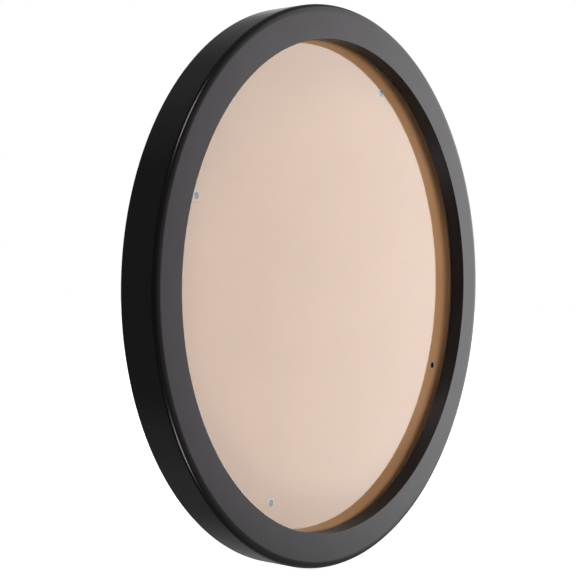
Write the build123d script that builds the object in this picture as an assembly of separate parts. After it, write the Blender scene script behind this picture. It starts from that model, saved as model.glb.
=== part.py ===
from build123d import *
import math
import os

# A round picture frame, in millimetres. Seen from the front, X runs to the right and Z up, and the face
# looks along -Y. The origin is the middle of the whole frame, wall bumpers included.

# Picture, sheets and moulding
picture_diameter = 300.0
lip_cover = 5.0
sheet_clearance = 0.6
face_width = 20.0
frame_depth = 23.0
lip_depth = 9.5
picture_room = 1.4
front_edge_radius = 3.5
lip_edge_radius = 0.6
back_edge_radius = 0.3
glazing_thickness = 0.8
board_thickness = 3.0

# Eyelets, set by hand a little off square: bearings from +X towards +Z, and insets from the sheet's edge
eyelet_bearings = (157.7, 65.0, -24.6, -115.6)
eyelet_insets = (19.2, 16.3, 15.6, 16.0)
eyelet_bore = 3.3
eyelet_wall = 0.45
flange_diameter = 5.8
flange_thickness = 0.6
flange_proud = 0.3
rim_thickness = 0.7
rim_rounding = 0.25
set_clearance = 0.02

# Turn buttons and the groove that their tips turn into
button_width = 12.0
button_thickness = 1.0
button_engagement = 3.0
button_play = 0.05
pivot_clearance = 0.05
rest_turn = 90.0
groove_width = 2.0
groove_tip_gap = 1.0
washer_diameter = 8.0
washer_thickness = 0.5

# Hanger, its nails and the wall bumpers
hanger_length = 46.0
hanger_thickness = 1.0
hanger_rise = 2.0
hanger_slope = 3.0
hanger_end = 8.0
hanger_corner_radius = 2.0
tooth_pitch = 4.0
tooth_depth = 2.0
nail_inset = 4.0
nail_edge = 3.0
nail_diameter = 1.6
nail_depth = 8.0
nail_point = 1.6
nail_head_diameter = 4.0
nail_head_thickness = 0.9
nail_head_rounding = 0.5
wall_gap = 0.2
bumper_diameter = 9.0
bumper_rounding = 0.8
bumper_spread = 28.0

# Radii of the moulding and of the sheets
sheet_radius = picture_diameter / 2
sight_radius = sheet_radius - lip_cover
outer_radius = sight_radius + face_width
rabbet_radius = sheet_radius + sheet_clearance
groove_radius = rabbet_radius + button_engagement + groove_tip_gap
shank_radius = eyelet_bore / 2 + eyelet_wall

# Depths, from the face to the wall
bumper_height = hanger_rise + hanger_thickness + wall_gap
front_y = -(frame_depth + bumper_height) / 2
lip_y = front_y + lip_depth
back_y = front_y + frame_depth
glazing_front_y = lip_y + picture_room
glazing_back_y = glazing_front_y + glazing_thickness
board_front_y = glazing_back_y + flange_proud
board_back_y = board_front_y + board_thickness
button_front_y = board_back_y + button_play
button_back_y = button_front_y + button_thickness
washer_front_y = button_back_y + button_play
rim_front_y = washer_front_y + washer_thickness
rim_back_y = rim_front_y + rim_thickness
groove_front_y = (button_front_y + button_back_y - groove_width) / 2
groove_back_y = groove_front_y + groove_width

# Places on the back
nail_x = hanger_length / 2 - nail_inset
nail_z = math.sqrt(((groove_radius + outer_radius) / 2) ** 2 - nail_x**2)
hanger_top_z = nail_z + nail_edge
hanger_low_z = rabbet_radius
hanger_back_y = back_y + hanger_thickness
bumper_circle_radius = (rabbet_radius + outer_radius) / 2
bumper_x = bumper_circle_radius * math.sin(math.radians(bumper_spread))
bumper_z = -bumper_circle_radius * math.cos(math.radians(bumper_spread))


def eyelet_spot(bearing, inset):
    """The place of an eyelet's axis on the board."""
    angle = math.radians(bearing)
    radius = sheet_radius - inset
    return Pos(radius * math.cos(angle), 0, radius * math.sin(angle))


def turned(outline, rounded=()):
    """A solid turned about Y from an outline of (radius, y) corners, with some corners rounded."""
    section = make_face(Polyline(*outline, close=True))
    for corner, radius in rounded:
        section = fillet(section.vertices().sort_by_distance(corner)[0], radius)
    return revolve(section, Axis.Y)


def tube(outer, inner, start_y, end_y):
    """A plain ring about Y, from start_y back to end_y."""
    return turned([(inner, start_y), (outer, start_y), (outer, end_y), (inner, end_y)])


def disc(radius, start_y, end_y):
    """A plain round about Y, from start_y back to end_y."""
    return tube(radius, 0, start_y, end_y)


def plate(outline, start_y, thickness):
    """A flat sheet with an outline drawn in X and Z, from start_y back through its thickness."""
    return extrude(Plane.XZ.offset(-(start_y + thickness)) * outline, thickness)


def frame_ring():
    """The moulding: face, lip, rabbet, and the groove for the turn buttons, with pilot holes for the nails."""
    face_inner = (sight_radius, front_y)
    face_outer = (outer_radius, front_y)
    back_outer = (outer_radius, back_y)
    outline = [
        face_inner,
        face_outer,
        back_outer,
        (rabbet_radius, back_y),
        (rabbet_radius, groove_back_y),
        (groove_radius, groove_back_y),
        (groove_radius, groove_front_y),
        (rabbet_radius, groove_front_y),
        (rabbet_radius, lip_y),
        (sight_radius, lip_y),
    ]
    rounded = [
        (face_inner, lip_edge_radius),
        (face_outer, front_edge_radius),
        (back_outer, back_edge_radius),
    ]
    ring = turned(outline, rounded)
    pilot = disc(nail_diameter / 2 + set_clearance, back_y - nail_depth, back_y)
    for side in (-1, 1):
        ring -= Pos(side * nail_x, 0, nail_z) * pilot
    return ring


def glazing_sheet():
    """The clear round sheet, which stands back from the lip by the room for a picture."""
    return disc(sheet_radius, glazing_front_y, glazing_back_y)


def backing_board():
    """The round board, with a hole for each eyelet and a pressed seat for its flange."""
    board = disc(sheet_radius, board_front_y, board_back_y)
    hole = disc(shank_radius + set_clearance, board_front_y, board_back_y)
    seat_back_y = glazing_back_y + flange_thickness
    seat = disc(flange_diameter / 2 + set_clearance, board_front_y, seat_back_y)
    for bearing, inset in zip(eyelet_bearings, eyelet_insets):
        board -= eyelet_spot(bearing, inset) * (hole + seat)
    return board


def eyelet():
    """A hollow eyelet: front flange, tubular shank, and the end rolled over the washer."""
    bore_radius = eyelet_bore / 2
    flange_radius = flange_diameter / 2
    flange_back_y = glazing_back_y + flange_thickness
    outline = [
        (bore_radius, glazing_back_y),
        (flange_radius, glazing_back_y),
        (flange_radius, flange_back_y),
        (shank_radius, flange_back_y),
        (shank_radius, rim_front_y),
        (flange_radius, rim_front_y),
        (flange_radius, rim_back_y),
        (bore_radius, rim_back_y),
    ]
    rounded = [(outline[0], rim_rounding), (outline[1], rim_rounding)]
    rounded += [(outline[6], rim_rounding), (outline[7], rim_rounding)]
    return turned(outline, rounded)


def washer():
    """The flat washer between a turn button and the eyelet's rolled end."""
    return tube(washer_diameter / 2, shank_radius + set_clearance, washer_front_y, rim_front_y)


def turn_button(bearing, inset):
    """A flat strip with round ends that turns on its eyelet, stored turned aside from the groove."""
    reach = inset + sheet_clearance + button_engagement
    centres = reach - button_width / 2
    strip = Pos(centres / 2, 0) * SlotCenterToCenter(centres, button_width)
    strip -= Circle(shank_radius + pivot_clearance)
    button = plate(strip, button_front_y, button_thickness)
    return eyelet_spot(bearing, inset) * Rot(0, -(bearing + rest_turn), 0) * button


def hanger_outline():
    """The hanger seen from behind: a strip with rounded top corners, nail holes and teeth along the bottom."""
    half = hanger_length / 2
    notches = 2 * int((half - hanger_end - hanger_slope) / tooth_pitch - 0.5) + 1
    first_x = -notches * tooth_pitch / 2
    teeth = []
    for notch in range(notches):
        start_x = first_x + notch * tooth_pitch
        teeth.append((start_x, hanger_low_z))
        teeth.append((start_x + tooth_pitch / 2, hanger_low_z + tooth_depth))
    teeth.append((-first_x, hanger_low_z))
    corners = [(half, hanger_low_z), (half, hanger_top_z), (-half, hanger_top_z), (-half, hanger_low_z)]
    strip = make_face(Polyline(*teeth, *corners, close=True))
    for corner in corners[1:3]:
        strip = fillet(strip.vertices().sort_by_distance(corner)[0], hanger_corner_radius)
    for side in (-1, 1):
        strip -= Pos(side * nail_x, nail_z) * Circle(nail_diameter / 2 + set_clearance)
    return strip


def hanger_bend():
    """The hanger's sheet seen from above: flat ends on the ring, and the middle raised for a nail's head."""
    half = hanger_length / 2
    foot = half - hanger_end
    crest = foot - hanger_slope
    shift = hanger_thickness * math.tan(math.atan2(hanger_rise, hanger_slope) / 2)
    under = [(half, 0), (foot, 0), (crest, hanger_rise)]
    over = [(crest + shift, hanger_rise), (foot + shift, 0), (half, 0)]
    right = [(x, back_y + y) for x, y in under]
    right_over = [(x, hanger_back_y + y) for x, y in over]
    left = [(-x, y) for x, y in reversed(right)]
    left_over = [(-x, y) for x, y in reversed(right_over)]
    section = make_face(Polyline(*right, *left, *left_over, *right_over, close=True))
    return Pos(0, 0, hanger_low_z) * extrude(section, hanger_top_z - hanger_low_z, dir=(0, 0, 1))


def sawtooth_hanger():
    """The toothed strip across the top of the back, clear of the board's way out."""
    return plate(hanger_outline(), back_y, hanger_rise + hanger_thickness) & hanger_bend()


def hanger_nail(side):
    """A round-headed nail driven through the hanger into the ring."""
    shank = nail_diameter / 2
    head = nail_head_diameter / 2
    head_back_y = hanger_back_y + nail_head_thickness
    point_y = back_y - nail_depth
    outline = [
        (0, point_y),
        (shank, point_y + nail_point),
        (shank, hanger_back_y),
        (head, hanger_back_y),
        (head, head_back_y),
        (0, head_back_y),
    ]
    return Pos(side * nail_x, 0, nail_z) * turned(outline, [((head, head_back_y), nail_head_rounding)])


def wall_bumper(side):
    """A round rubber pad on the ring's back, which stands the frame off the wall."""
    radius = bumper_diameter / 2
    rear_y = back_y + bumper_height
    outline = [(0, back_y), (radius, back_y), (radius, rear_y), (0, rear_y)]
    return Pos(side * bumper_x, 0, bumper_z) * turned(outline, [((radius, rear_y), bumper_rounding)])


pieces = {
    "frame_ring": frame_ring(),
    "glazing_sheet": glazing_sheet(),
    "backing_board": backing_board(),
    "sawtooth_hanger": sawtooth_hanger(),
}
for number, (bearing, inset) in enumerate(zip(eyelet_bearings, eyelet_insets), start=1):
    pieces[f"eyelet_{number}"] = eyelet_spot(bearing, inset) * eyelet()
    pieces[f"washer_{number}"] = eyelet_spot(bearing, inset) * washer()
    pieces[f"turn_button_{number}"] = turn_button(bearing, inset)
for name, side in (("left", -1), ("right", 1)):
    pieces[f"hanger_nail_{name}"] = hanger_nail(side)
    pieces[f"wall_bumper_{name}"] = wall_bumper(side)

os.makedirs("parts", exist_ok=True)
for name, solid in pieces.items():
    export_step(solid, f"parts/{name}.step")
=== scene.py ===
import math

import bpy
import numpy as np
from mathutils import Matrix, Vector


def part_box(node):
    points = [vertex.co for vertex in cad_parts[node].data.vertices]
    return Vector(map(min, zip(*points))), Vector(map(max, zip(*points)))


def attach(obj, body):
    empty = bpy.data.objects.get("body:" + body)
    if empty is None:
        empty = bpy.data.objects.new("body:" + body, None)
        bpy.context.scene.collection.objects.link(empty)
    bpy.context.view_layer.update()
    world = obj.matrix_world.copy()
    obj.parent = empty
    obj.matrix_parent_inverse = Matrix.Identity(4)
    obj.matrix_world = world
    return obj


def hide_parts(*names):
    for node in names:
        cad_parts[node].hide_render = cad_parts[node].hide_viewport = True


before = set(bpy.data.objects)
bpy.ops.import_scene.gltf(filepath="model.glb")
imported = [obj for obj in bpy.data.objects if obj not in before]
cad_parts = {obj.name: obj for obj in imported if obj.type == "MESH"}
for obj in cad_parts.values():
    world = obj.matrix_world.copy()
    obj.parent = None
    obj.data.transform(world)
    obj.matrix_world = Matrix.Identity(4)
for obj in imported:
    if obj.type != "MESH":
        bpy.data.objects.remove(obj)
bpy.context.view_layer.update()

# The moulding: one ring of medium-density fibreboard, turned to a flat face with a soft outer edge, a deep
# square lip and a rabbet behind it. It is sprayed satin black, thinly where the gun hardly reaches, which is
# in the rabbet and in the groove for the turn buttons' tips.
ring_low, ring_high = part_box("frame_ring")
pane_low, pane_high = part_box("glazing_sheet")
button_low, button_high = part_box("turn_button_1")
outer_radius = ring_high.x
face_y, back_y = ring_low.y, ring_high.y
face_width, lip_depth = 0.020, 0.0095
edge_run, edge_fall = 0.0036, 0.0005
sheet_clearance = 0.0006
groove_depth, groove_width = 0.004, 0.002
lip_rounding, sanded_rounding, edge_rounding, back_rounding = 0.0003, 0.012, 0.0025, 0.0003
mouth_rounding, floor_rounding, rabbet_rounding = 0.00015, 0.0002, 0.0004
sight_radius = outer_radius - face_width
lip_y = face_y + lip_depth
rabbet_radius = pane_high.x + sheet_clearance
groove_radius = rabbet_radius + groove_depth
groove_y = (button_low.y + button_high.y) / 2
groove_front, groove_rear = groove_y - groove_width / 2, groove_y + groove_width / 2
ring_segments = 480
black_coat = (0.0098, 0.0088, 0.0092, 1.0)
brown_through = (0.045, 0.026, 0.016, 1.0)


def rounded_profile(corners, arc_points=9):
    """A closed outline with rounded corners, as rows of (radius, depth).

    Each row of corners is (radius, depth, rounding). A corner is cut back along both its runs by its rounding
    over the tangent of half its angle, and an arc about a centre on the bisector joins the two cuts. One more
    point on each run, a little past the cut, keeps the run flat under smooth shading.
    """
    past_cut = 1.2
    corners = np.array(corners)
    point, rounding = corners[:, :2], corners[:, 2:]
    back = np.roll(point, 1, 0) - point
    ahead = np.roll(point, -1, 0) - point
    back /= np.linalg.norm(back, axis=1, keepdims=True)
    ahead /= np.linalg.norm(ahead, axis=1, keepdims=True)
    half = np.arccos((back * ahead).sum(1, keepdims=True)) / 2
    cut = rounding / np.tan(half)
    bisector = (back + ahead) / np.linalg.norm(back + ahead, axis=1, keepdims=True)
    centre = (point + bisector * rounding / np.sin(half))[:, None]
    start = (point + back * cut)[:, None] - centre
    end = (point + ahead * cut)[:, None] - centre
    turn = (math.pi - 2 * half)[:, None]
    share = np.linspace(0, 1, arc_points)[None, :, None]
    arc = (np.sin((1 - share) * turn) * start + np.sin(share * turn) * end) / np.sin(turn) + centre
    before = (point + back * cut * past_cut)[:, None]
    after = (point + ahead * cut * past_cut)[:, None]
    return np.concatenate([before, arc, after], 1).reshape(-1, 2)


def looped_faces(rows, columns):
    """Four-cornered faces of a grid of points whose last row and last column meet its first."""
    place = np.arange(rows * columns).reshape(rows, columns)
    after = np.roll(place, -1, 0)
    return np.stack([place, after, np.roll(after, -1, 1), np.roll(place, -1, 1)], -1)


def turned(profile, segments, axis=(0.0, 0.0)):
    """Points and faces of a profile turned about a line along Y through axis (x, z).

    A profile point of radius r and depth y lies at (x + r cos t, y, z + r sin t) at each turn t. A profile
    that starts and ends on the line is closed there by fans about single points. Any other joins its end to
    its start.
    """
    turn = np.linspace(0, 2 * math.pi, segments, endpoint=False)
    on_line = profile[0, 0] == 0
    rows = profile[1:-1] if on_line else profile
    radius, depth = rows[:, :1], rows[:, 1:]
    grid = [axis[0] + radius * np.cos(turn), depth + 0 * turn, axis[1] + radius * np.sin(turn)]
    points = np.stack(grid, -1).reshape(-1, 3)
    faces = looped_faces(len(rows), segments)
    if not on_line:
        return points, faces.reshape(-1, 4).tolist()
    first, last = np.arange(segments), np.arange(len(points) - segments, len(points))
    front_fan = np.stack([0 * first + len(points), first, np.roll(first, -1)], -1)
    rear_fan = np.stack([last, 0 * last + len(points) + 1, np.roll(last, -1)], -1)
    ends = [(axis[0], profile[0, 1], axis[1]), (axis[0], profile[-1, 1], axis[1])]
    fans = front_fan.tolist() + rear_fan.tolist()
    return np.concatenate([points, ends]), faces[:-1].reshape(-1, 4).tolist() + fans


def made_piece(name, shape, finish, body, node):
    """A smooth piece from its points and faces, which rides on a body and stands for a node of the frame."""
    points, faces = shape
    mesh = bpy.data.meshes.new(name)
    mesh.from_pydata(points, [], faces)
    mesh.shade_smooth()
    mesh.materials.append(finish)
    piece = bpy.data.objects.new(name, mesh)
    bpy.context.scene.collection.objects.link(piece)
    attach(piece, body)
    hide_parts(node)
    return piece


def share_rows(piece, name, rows):
    """A number on each point of a turned piece, the same all round each row of its profile."""
    values = np.repeat(rows, len(piece.data.vertices) // len(rows)).astype(np.float32)
    piece.data.attributes.new(name, "FLOAT", "POINT").data.foreach_set("value", values)


def new_finish(name):
    """A material with its node tree and its main shader."""
    finish = bpy.data.materials.new(name)
    finish.use_nodes = True
    return finish, finish.node_tree, finish.node_tree.nodes["Principled BSDF"]


def join(tree, node, inputs):
    """Sets a node's inputs to values, or links them to other nodes' outputs."""
    for name, value in inputs.items():
        if isinstance(value, bpy.types.NodeSocket):
            tree.links.new(value, node.inputs[name])
        else:
            node.inputs[name].default_value = value


def add(tree, kind, inputs, **settings):
    """A node whose inputs are set to values or linked to other nodes' outputs."""
    node = tree.nodes.new(kind)
    for name, value in settings.items():
        setattr(node, name, value)
    join(tree, node, inputs)
    return node


def reckon(tree, operation, first, second=0.0):
    """The result of one sum on two numbers."""
    return add(tree, "ShaderNodeMath", {0: first, 1: second}, operation=operation).outputs[0]


def stored(tree, name):
    """A number that share_rows has put on the piece's points."""
    return add(tree, "ShaderNodeAttribute", {}, attribute_name=name).outputs["Fac"]


def noise(tree, scale, detail, roughness=0.5):
    """Cloudy noise on the piece's own coordinates, with so many clouds to the metre."""
    place = add(tree, "ShaderNodeTexCoord", {}).outputs["Object"]
    inputs = {"Vector": place, "Scale": scale, "Detail": detail, "Roughness": roughness}
    return add(tree, "ShaderNodeTexNoise", inputs).outputs["Fac"]


def between(tree, share, low, high, from_low=0.0, from_high=1.0):
    """A number that goes from low to high as share goes from from_low to from_high."""
    inputs = {"Value": share, "From Min": from_low, "From Max": from_high, "To Min": low, "To Max": high}
    return add(tree, "ShaderNodeMapRange", inputs).outputs["Result"]


def shade(tree, share, first, second):
    """A colour that goes from first to second with share."""
    mix = add(tree, "ShaderNodeMix", {0: share, 6: first, 7: second}, data_type="RGBA")
    return mix.outputs[2]


def relief(tree, height, depth):
    """A normal from a height that rises by depth, in metres."""
    inputs = {"Height": height, "Strength": 1.0, "Distance": depth}
    return add(tree, "ShaderNodeBump", inputs).outputs["Normal"]


ring_corners = [
    (sight_radius, face_y, lip_rounding),
    (outer_radius - edge_run, face_y, sanded_rounding),
    (outer_radius, face_y + edge_fall, edge_rounding),
    (outer_radius, back_y, back_rounding),
    (rabbet_radius, back_y, back_rounding),
    (rabbet_radius, groove_rear, mouth_rounding),
    (groove_radius, groove_rear, floor_rounding),
    (groove_radius, groove_front, floor_rounding),
    (rabbet_radius, groove_front, mouth_rounding),
    (rabbet_radius, lip_y, rabbet_rounding),
    (sight_radius, lip_y, rabbet_rounding),
]
ring_profile = rounded_profile(ring_corners)
lacquer, tree, coat = new_finish("black_lacquer")
fibre = between(tree, noise(tree, 900.0, 3.0), 0.35, 1.0)
bare = reckon(tree, "MULTIPLY", stored(tree, "thin_coat"), fibre)
haze = between(tree, noise(tree, 38.0, 4.0, 0.6), 0.19, 0.24, 0.3, 0.7)
join(tree, coat, {
    "Base Color": shade(tree, bare, black_coat, brown_through),
    "Roughness": reckon(tree, "ADD", stored(tree, "dull_coat"), haze),
    "IOR": 1.38,
    "Specular Tint": (1.0, 0.925, 1.0, 1.0),
    "Normal": relief(tree, noise(tree, 620.0, 2.0), 0.000006),
})
shape = turned(ring_profile, ring_segments)
moulding = made_piece("moulding", shape, lacquer, "frame", "frame_ring")
ring_radius, ring_depth = ring_profile.T
near = 0.0001
behind = ring_depth > back_y - 2 * near
inside = (ring_radius < groove_radius + near) & (ring_depth > lip_y - near) & ~behind
lip_wall = (ring_radius < sight_radius + near) & ~inside
coat_places = [inside, behind, lip_wall]
share_rows(moulding, "thin_coat", np.select(coat_places, [0.8, 0.25, 0.0]))
share_rows(moulding, "dull_coat", np.select(coat_places, [0.4, 0.15, 0.25]))

# The glazing: a round of clear acrylic sheet, cut by laser, which lies loose in the rabbet, against the
# eyelets' flanges. It is polished on both sides, and shows only by what it mirrors.
pane_rounding = 0.0002
flange_gap = 0.00003
pane_segments = 256


def disc_profile(radius, front, back, front_rounding, back_rounding):
    """A round's outline from its axis across the front, round the rim and back, as rows of (radius, depth).

    The rim's two edges are quarter circles of their roundings, and each flat has a point two roundings in,
    which keeps it flat under smooth shading.
    """
    quarter = np.linspace(0, math.pi / 2, 7)
    inner = np.array([0.0, radius / 2])
    front_flat = np.append(inner, radius - 2 * front_rounding)
    back_flat = np.append(inner, radius - 2 * back_rounding)[::-1]
    front_rim = radius - front_rounding * (1 - np.sin(quarter))
    back_rim = radius - back_rounding * (1 - np.cos(quarter))
    front_step = front + front_rounding * (1 - np.cos(quarter))
    back_step = back - back_rounding * (1 - np.sin(quarter))
    across = np.concatenate([front_flat, front_rim, back_rim, back_flat])
    depth = np.concatenate([front + 0 * front_flat, front_step, back_step, back + 0 * back_flat])
    return np.column_stack([across, depth])


pane_back = pane_high.y - flange_gap
pane_profile = disc_profile(pane_high.x, pane_low.y, pane_back, pane_rounding, pane_rounding)
acrylic, tree, clear = new_finish("clear_acrylic")
join(tree, clear, {
    "Base Color": (0.985, 0.99, 0.985, 1.0),
    "Roughness": 0.0,
    "IOR": 1.55,
    "Transmission Weight": 1.0,
})
path = add(tree, "ShaderNodeLightPath", {})
lit_through = reckon(tree, "MAXIMUM", path.outputs["Is Shadow Ray"], path.outputs["Is Diffuse Ray"])
passing = add(tree, "ShaderNodeBsdfTransparent", {"Color": (0.93, 0.93, 0.93, 1.0)})
sheet = add(tree, "ShaderNodeMixShader", {0: lit_through, 1: clear.outputs[0], 2: passing.outputs[0]})
tree.links.new(sheet.outputs[0], tree.nodes["Material Output"].inputs["Surface"])
shape = turned(pane_profile, pane_segments)
made_piece("glazing", shape, acrylic, "frame", "glazing_sheet")

# The backing board: a round of raw fibreboard, pressed smooth on both faces and cut by router. It is left
# bare, so its tan fibres show as faint clouds, a fine grain and darker flecks.
tan_light, tan_dark = (0.645, 0.338, 0.160, 1.0), (0.57, 0.290, 0.134, 1.0)
tan_fleck = (0.43, 0.215, 0.098, 1.0)
fibreboard, tree, raw = new_finish("raw_fibreboard")
cloud = noise(tree, 24.0, 3.0, 0.6)
grain = noise(tree, 2600.0, 3.0, 0.7)
mixed = reckon(tree, "MULTIPLY", cloud, grain)
plain = shade(tree, between(tree, mixed, 0.0, 1.0, 0.1, 0.42), tan_dark, tan_light)
fleck = between(tree, noise(tree, 1300.0, 4.0, 0.75), 0.0, 0.6, 0.62, 0.78)
join(tree, raw, {
    "Base Color": shade(tree, fleck, plain, tan_fleck),
    "Roughness": between(tree, grain, 0.72, 0.9),
    "IOR": 1.25,
    "Normal": relief(tree, grain, 0.000003),
})
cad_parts["backing_board"].material_slots[0].material = fibreboard

# The eyelets: hollow rivets of nickel-plated steel, pushed through the board from the front. The flange is
# pressed half its thickness into the board's face, and the far end is rolled over the washer.
flange_low, flange_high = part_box("eyelet_1")
flange_radius = (flange_high.x - flange_low.x) / 2
bore_radius, shank_radius = 0.00165, 0.0021
flange_thickness, roll_thickness = 0.0006, 0.0007
flange_mouth, flange_rim, flange_under = 0.0006, 0.00036, 0.00012
roll_mouth, roll_rim, roll_under = 0.0003, 0.00034, 0.0002
shank_rounding = 0.0001
bore_shadow = 0.00032
flange_back = flange_low.y + flange_thickness
roll_front = flange_high.y - roll_thickness
eyelet_numbers = (1, 2, 3, 4)
small_segments = 48
nickel_bright, nickel_dull = (0.61, 0.59, 0.57, 1.0), (0.50, 0.485, 0.47, 1.0)
# Painted shade for the dark inside of each hollow rivet: its bore is coloured near-black.
bore_painted_shade = (0.012, 0.012, 0.013, 1.0)


def middle(node):
    """The x and z of the middle of a node's box."""
    low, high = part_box(node)
    return (low.x + high.x) / 2, (low.z + high.z) / 2


eyelet_corners = [
    (bore_radius, flange_low.y, flange_mouth),
    (flange_radius, flange_low.y, flange_rim),
    (flange_radius, flange_back, flange_under),
    (shank_radius, flange_back, shank_rounding),
    (shank_radius, roll_front, shank_rounding),
    (flange_radius, roll_front, roll_under),
    (flange_radius, flange_high.y, roll_rim),
    (bore_radius, flange_high.y, roll_mouth),
]
eyelet_profile = rounded_profile(eyelet_corners, 7)
# The bore and its mouths, out to bore_shadow past the bore's edge, are marked for the painted shade.
bore_shade_rows = np.where(eyelet_profile[:, 0] < bore_radius + bore_shadow, 1.0, 0.0)
nickel, tree, plating = new_finish("eyelet_nickel")
tarnish = noise(tree, 900.0, 3.0, 0.6)
pale = shade(tree, tarnish, nickel_dull, nickel_bright)
# The plating's colour gives way to the painted bore shade on the marked rows.
join(tree, plating, {
    "Base Color": shade(tree, stored(tree, "bore"), pale, bore_painted_shade),
    "Metallic": 0.4,
    "Roughness": between(tree, tarnish, 0.45, 0.6, 0.3, 0.7),
    "Normal": relief(tree, tarnish, 0.000008),
})
for number in eyelet_numbers:
    shape = turned(eyelet_profile, small_segments, middle(f"eyelet_{number}"))
    eyelet = made_piece(f"eyelet_ring_{number}", shape, nickel, "back", f"eyelet_{number}")
    share_rows(eyelet, "bore", bore_shade_rows)

# The turn buttons: strips of zinc-plated sheet steel with round ends, punched from coil and tumbled, so their
# edges are soft. Each turns on its eyelet, and its free end goes into the groove.
button_width, button_rounding = 0.012, 0.0002
pivot_clearance, tip_engagement = 0.00005, 0.003
button_hole = shank_radius + pivot_clearance
button_tip = rabbet_radius + tip_engagement
button_stored = math.pi / 2


def strip_with_hole(pivot, heading):
    """A flat strip with round ends and a hole about its pivot, lying along heading, from +X towards +Z.

    The outline is a half circle about the pivot, two straight sides and a half circle about the far centre,
    and each point of it has a partner on the hole, on the line to the pivot. Rows of points go from the hole
    across the front to the outline and back across the rear. Each edge is a quarter circle of the rounding.
    """
    half_width = button_width / 2
    far = button_tip - math.hypot(*pivot) - half_width
    arc = np.linspace(-math.pi / 2, math.pi / 2, 25)
    side = np.linspace(0, far, 9)[1:-1]
    out_x = np.concatenate([np.cos(arc), 0 * side, -np.cos(arc), 0 * side])
    out_z = np.concatenate([np.sin(arc), 0 * side + 1, -np.sin(arc), 0 * side - 1])
    centre_x = np.concatenate([0 * arc + far, side[::-1], 0 * arc, side])
    edge_x, edge_z = centre_x + half_width * out_x, half_width * out_z
    away = np.hypot(edge_x, edge_z)
    quarter = np.linspace(0, math.pi / 2, 5)
    flat = np.linspace(0, 1, 5)[1:-1]
    inset = button_rounding * (1 - np.cos(quarter))
    dip = button_rounding * (1 - np.sin(quarter))
    share = np.concatenate([0 * quarter, flat, 0 * quarter + 1])[:, None]
    inset = np.concatenate([inset, 0 * flat + button_rounding, inset[::-1]])[:, None]
    dip = np.concatenate([dip, 0 * flat, dip[::-1]])
    hole = (button_hole + inset) / away
    x = (1 - share) * hole * edge_x + share * (edge_x - inset * out_x)
    z = (1 - share) * hole * edge_z + share * (edge_z - inset * out_z)
    depth = np.concatenate([button_low.y + dip, button_high.y - dip[::-1]])[:, None]
    x, z = np.concatenate([x, x[::-1]]), np.concatenate([z, z[::-1]])
    turned_x = pivot[0] + x * math.cos(heading) - z * math.sin(heading)
    turned_z = pivot[1] + x * math.sin(heading) + z * math.cos(heading)
    points = np.stack([turned_x, depth + 0 * x, turned_z], -1).reshape(-1, 3)
    return points, looped_faces(*x.shape).reshape(-1, 4).tolist()


def metal(name, colour, dull, shiny, scale):
    """Steel whose shine goes between shiny and dull in small clouds, with a trace of their relief."""
    paler = 1.12
    finish, tree, shader = new_finish(name)
    cloud = noise(tree, scale, 3.0, 0.6)
    pale = tuple(min(1.0, part * paler) for part in colour)
    join(tree, shader, {
        "Base Color": shade(tree, cloud, (*colour, 1.0), (*pale, 1.0)),
        "Metallic": 1.0,
        "Roughness": between(tree, cloud, shiny, dull, 0.3, 0.7),
        "Normal": relief(tree, cloud, 0.000008),
    })
    return finish


zinc = metal("button_zinc", (0.50, 0.52, 0.55), dull=0.42, shiny=0.28, scale=420.0)
for number in eyelet_numbers:
    pivot = middle(f"eyelet_{number}")
    heading = math.atan2(pivot[1], pivot[0]) + button_stored
    shape = strip_with_hole(pivot, heading)
    made_piece(f"button_{number}", shape, zinc, f"button_{number}", f"turn_button_{number}")

# The washers: small zinc-plated rounds, punched and tumbled, which lie between each button and its eyelet's
# rolled end so that the button turns freely.
washer_low, washer_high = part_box("washer_1")
washer_radius = (washer_high.x - washer_low.x) / 2
washer_clearance = 0.00002
washer_bore = shank_radius + washer_clearance
bore_edge, front_edge, rear_edge = 0.0001, 0.00012, 0.00016
washer_corners = [
    (washer_bore, washer_low.y, bore_edge),
    (washer_radius, washer_low.y, front_edge),
    (washer_radius, washer_high.y, rear_edge),
    (washer_bore, washer_high.y, bore_edge),
]
washer_profile = rounded_profile(washer_corners, 5)
washer_zinc = metal("washer_zinc", (0.56, 0.57, 0.59), dull=0.4, shiny=0.25, scale=700.0)
for number in eyelet_numbers:
    shape = turned(washer_profile, small_segments, middle(f"washer_{number}"))
    made_piece(f"washer_round_{number}", shape, washer_zinc, "back", f"washer_{number}")

# The hanger: a strip of zinc-plated steel, pressed so that its toothed middle stands off the ring for the
# head of a nail. Its flat ends are nailed to the ring's back.
hanger_low, hanger_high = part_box("sawtooth_hanger")
hanger_half = hanger_high.x
hanger_thickness = 0.001
hanger_rise = hanger_high.y - hanger_low.y - hanger_thickness
hanger_end, hanger_slope = 0.008, 0.003
tooth_pitch, tooth_depth, tooth_reach = 0.004, 0.002, 0.010
hanger_corner = 0.002
hanger_edge, sharp_angle = 0.00015, 40.0


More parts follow.
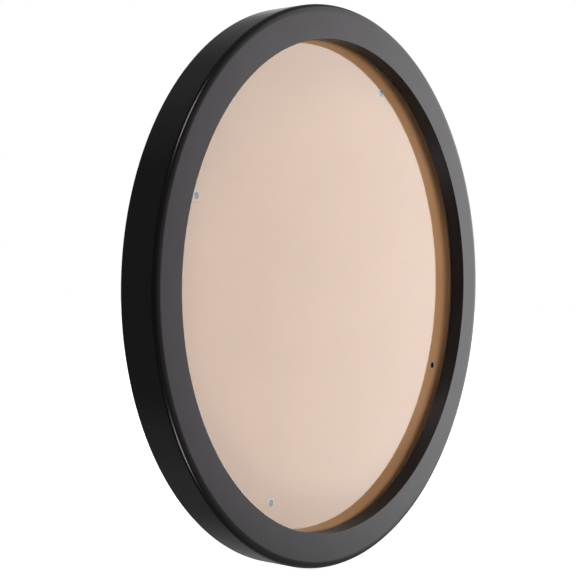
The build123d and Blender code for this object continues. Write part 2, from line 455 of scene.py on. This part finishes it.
def pressed_strip():
    """The strip's side towards the ring, as columns along x and rows from its lower to its upper edge.

    The lower edge is a zigzag of straight teeth in the middle and level beyond them. The upper edge is level
    and ends in quarter circles. The depth goes from the ring to the full rise along half a cosine wave on
    each slope.
    """
    foot, crest = hanger_half - hanger_end, hanger_half - hanger_end - hanger_slope
    corner = hanger_half - hanger_corner * (1 - np.sin(np.linspace(0, math.pi / 2, 7)))
    teeth = np.arange(0, tooth_reach + tooth_pitch / 4, tooth_pitch / 2)
    right = np.concatenate([teeth, np.linspace(crest, foot, 9), corner])
    x = np.concatenate([-right[:0:-1], right])
    across = np.abs(x)
    tooth = 1 - np.abs((across % tooth_pitch) / (tooth_pitch / 2) - 1)
    lower = hanger_low.z + tooth_depth * np.where(across < tooth_reach, 1 - tooth, 0)
    past = np.clip(across - (hanger_half - hanger_corner), 0, hanger_corner)
    upper = hanger_high.z - hanger_corner + np.sqrt(hanger_corner**2 - past**2)
    climb = np.clip((foot - across) / hanger_slope, 0, 1)
    depth = hanger_low.y + hanger_rise * (1 - np.cos(math.pi * climb)) / 2
    share = np.linspace(0, 1, 6)[:, None]
    height = lower + share * (upper - lower)
    points = np.stack([x + 0 * height, depth + 0 * height, height], -1).reshape(-1, 3)
    place = np.arange(len(points)).reshape(height.shape)
    faces = np.stack([place[:-1, :-1], place[1:, :-1], place[1:, 1:], place[:-1, 1:]], -1)
    return points, faces.reshape(-1, 4).tolist()


hanger_zinc = metal("hanger_zinc", (0.50, 0.52, 0.55), dull=0.44, shiny=0.3, scale=300.0)
shape = pressed_strip()
hanger = made_piece("toothed_hanger", shape, hanger_zinc, "frame", "sawtooth_hanger")
thicken = hanger.modifiers.new("sheet", "SOLIDIFY")
thicken.thickness = hanger_thickness
thicken.offset = 1.0
thicken.use_even_offset = True
soften = hanger.modifiers.new("edges", "BEVEL")
soften.width = hanger_edge
soften.segments = 2
soften.angle_limit = math.radians(sharp_angle)
soften.harden_normals = True

# The hanger's nails: panel pins of bright drawn wire, each with a point and a low domed head. They are driven
# through the strip's flat ends into the ring. The dome is a quarter of an ellipse on a short straight edge.
nail_low, nail_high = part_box("hanger_nail_left")
nail_shank, nail_point = 0.0008, 0.0016
nail_segments = 40
head_radius = (nail_high.x - nail_low.x) / 2
head_height, head_edge, head_rounding = 0.0009, 0.0003, 0.0001
head_front = nail_high.y - head_height
dome = np.linspace(0, math.pi / 2, 9)
dome_radius = head_radius * np.cos(dome)
dome_radius[-1] = 0.0
dome_depth = head_front + head_edge + (head_height - head_edge) * np.sin(dome)
nail_stem = [
    (0.0, nail_low.y),
    (nail_shank, nail_low.y + nail_point),
    (nail_shank, head_front),
    (head_radius - head_rounding, head_front),
]
nail_profile = np.concatenate([nail_stem, np.column_stack([dome_radius, dome_depth])])
bright_steel = metal("nail_steel", (0.55, 0.55, 0.56), dull=0.36, shiny=0.22, scale=800.0)
for side in ("left", "right"):
    shape = turned(nail_profile, nail_segments, middle(f"hanger_nail_{side}"))
    made_piece(f"nail_{side}", shape, bright_steel, "frame", f"hanger_nail_{side}")

# The wall bumpers: two stick-on pads of black rubber, cast with a rounded rim, low on the ring's back. They
# are a little thicker than the hanger stands proud, and keep the frame's lower edge off the wall.
pad_low, pad_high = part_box("wall_bumper_left")
pad_radius = (pad_high.x - pad_low.x) / 2
pad_edge, pad_rim = 0.0002, 0.0008
rubber_dark, rubber_pale = (0.014, 0.014, 0.015, 1.0), (0.035, 0.035, 0.036, 1.0)
rubber, tree, soft = new_finish("bumper_rubber")
speckle = noise(tree, 1800.0, 3.0, 0.7)
join(tree, soft, {
    "Base Color": shade(tree, speckle, rubber_dark, rubber_pale),
    "Roughness": between(tree, speckle, 0.62, 0.8),
    "Normal": relief(tree, speckle, 0.00002),
})
pad_profile = disc_profile(pad_radius, pad_low.y, pad_high.y, pad_edge, pad_rim)
for side in ("left", "right"):
    shape = turned(pad_profile, small_segments, middle(f"wall_bumper_{side}"))
    made_piece(f"pad_{side}", shape, rubber, "frame", f"wall_bumper_{side}")

# The studio: a white floor under the frame's rim, soft panels and lamps all round that the lacquer and the
# glazing mirror, and two soft boxes for the matt board. Bearings count from the front towards +X, and heights
# from the horizon, both in degrees.
floor_half = 3.0
floor_mesh = bpy.data.meshes.new("floor")
floor_corners = np.array([(-1, -1), (1, -1), (1, 1), (-1, 1)]) * floor_half
floor_mesh.from_pydata(np.column_stack([floor_corners, np.full(4, ring_low.z)]), [], [(0, 1, 2, 3)])
floor = bpy.data.objects.new("floor", floor_mesh)
bpy.context.scene.collection.objects.link(floor)
floor.visible_diffuse = False
floor.visible_glossy = False
floor.visible_transmission = False
floor.visible_shadow = False
paper, tree, matt = new_finish("white_floor")
join(tree, matt, {
    "Base Color": (0.8, 0.8, 0.8, 1.0),
    "Roughness": 0.9,
    "Emission Color": (1.0, 1.0, 1.0, 1.0),
    "Emission Strength": 0.94,
})
floor_mesh.materials.append(paper)

studio = bpy.data.worlds.new("studio")
bpy.context.scene.world = studio
studio.use_nodes = True
tree = studio.node_tree
look = add(tree, "ShaderNodeTexCoord", {}).outputs["Generated"]
axes = add(tree, "ShaderNodeSeparateXYZ", {"Vector": look}).outputs
to_front = reckon(tree, "MULTIPLY", axes["Y"], -1.0)
bearing = reckon(tree, "DEGREES", reckon(tree, "ARCTAN2", axes["X"], to_front))
height = reckon(tree, "DEGREES", reckon(tree, "ARCSINE", axes["Z"]))


def soft_step(value, start, end):
    """A share that eases from 0 at start to 1 at end."""
    inputs = {"Value": value, "From Min": start, "From Max": end}
    return add(tree, "ShaderNodeMapRange", inputs, interpolation_type="SMOOTHSTEP").outputs["Result"]


def light_panel(left, right, low, high, strength):
    """A panel of light between two bearings and two heights.

    Each side is given as the span over which the light fades in or out, and the four shares are multiplied.
    """
    wide = reckon(tree, "MULTIPLY", soft_step(bearing, *left), soft_step(bearing, *right))
    tall = reckon(tree, "MULTIPLY", soft_step(height, *low), soft_step(height, *high))
    return reckon(tree, "MULTIPLY", reckon(tree, "MULTIPLY", wide, tall), strength)


def towards(at_bearing, at_height):
    """The unit vector at a bearing and a height, in degrees."""
    a, e = math.radians(at_bearing), math.radians(at_height)
    return Vector((math.sin(a) * math.cos(e), -math.cos(a) * math.cos(e), math.sin(e)))


def light_round(at_bearing, at_height, inner, outer, strength):
    """A round lamp at a bearing and a height, full out to the inner angle and faded out at the outer one."""
    inputs = {0: look, 1: towards(at_bearing, at_height)}
    lined_up = add(tree, "ShaderNodeVectorMath", inputs, operation="DOT_PRODUCT").outputs["Value"]
    off = reckon(tree, "DEGREES", reckon(tree, "ARCCOSINE", lined_up))
    return reckon(tree, "MULTIPLY", soft_step(off, outer, inner), strength)


surround = between(tree, axes["X"], 0.06, 0.28, -0.2, 0.6)
key_panel = light_panel((42, 49.5), (118, 50), (-17, -9.3), (24, 6), 1.62)
dark_card = light_round(45, -15, 2, 11, 0.4)
key_light = reckon(tree, "MULTIPLY", key_panel, reckon(tree, "SUBTRACT", 1.0, dark_card))
key_disc = light_round(67.5, -1.2, 19.4, 21.0, 0.88)
high_panel = light_panel((46, 53), (112, 70), (15, 20), (37, 28), 1.3)
high_spot = light_round(-46, 56, 5, 13, 13.5)
low_spot = light_round(-46, -52, 5, 13, 13.5)
rim_lamp = light_round(120, 12, 6, 22, 0.8)
rear_lamp = light_round(172, 4, 10, 24, 3.0)
side_panel = light_panel((-165, -150), (-100, -125), (-70, -20), (70, 20), 0.12)
high_glow = light_round(-167, 47, 4, 22, 0.16)
low_glow = light_round(-163, -46, 5, 24, 0.2)
front_lights = [key_light, key_disc, high_panel, high_spot, low_spot]
rear_lights = [rim_lamp, rear_lamp, side_panel, high_glow, low_glow]
total = surround
for light in front_lights + rear_lights:
    total = reckon(tree, "ADD", total, light)
ray = add(tree, "ShaderNodeLightPath", {}).outputs
matt_share = between(tree, ray["Is Diffuse Ray"], 1.0, 0.12)
level = between(tree, ray["Is Camera Ray"], reckon(tree, "MULTIPLY", total, matt_share), 1.0)
join(tree, tree.nodes["Background"], {"Color": (1.0, 1.0, 1.0, 1.0), "Strength": level})


def soft_box(name, at_bearing, at_height, distance, size, energy):
    """A large soft box that lights matt surfaces, and is not itself seen or mirrored."""
    box = bpy.data.objects.new(name, bpy.data.lights.new(name, "AREA"))
    bpy.context.scene.collection.objects.link(box)
    box.data.shape = "RECTANGLE"
    box.data.size, box.data.size_y = size
    box.data.energy = energy
    box.visible_glossy = False
    box.visible_transmission = False
    box.visible_camera = False
    box.location = distance * towards(at_bearing, at_height)
    box.rotation_euler = (-towards(at_bearing, at_height)).to_track_quat("-Z", "Y").to_euler()


soft_box("fill", 35, 3, distance=1.1, size=(0.5, 0.4), energy=7.2)
soft_box("rear_fill", 165, 20, distance=1.5, size=(0.9, 1.2), energy=12.0)

# The camera, fitted to the photograph: its place by distance, bearing and height from the middle of the face,
# and its aim by how far it turns from that middle.
camera_distance, camera_bearing, camera_height = 0.71777, -55.986, 1.434
camera_turn, camera_tilt = 2.730, 0.0536
photo_lens = 75.515
camera = bpy.data.objects.new("camera", bpy.data.cameras.new("camera"))
bpy.context.scene.collection.objects.link(camera)
camera.data.lens = photo_lens
camera.data.clip_start = 0.01
camera.location = Vector((0, face_y, 0)) + camera_distance * towards(camera_bearing, camera_height)
aim = -towards(camera_bearing + camera_turn, camera_height + camera_tilt)
camera.rotation_euler = aim.to_track_quat("-Z", "Y").to_euler()
bpy.context.scene.camera = camera
bpy.context.scene.view_settings.view_transform = "Standard"
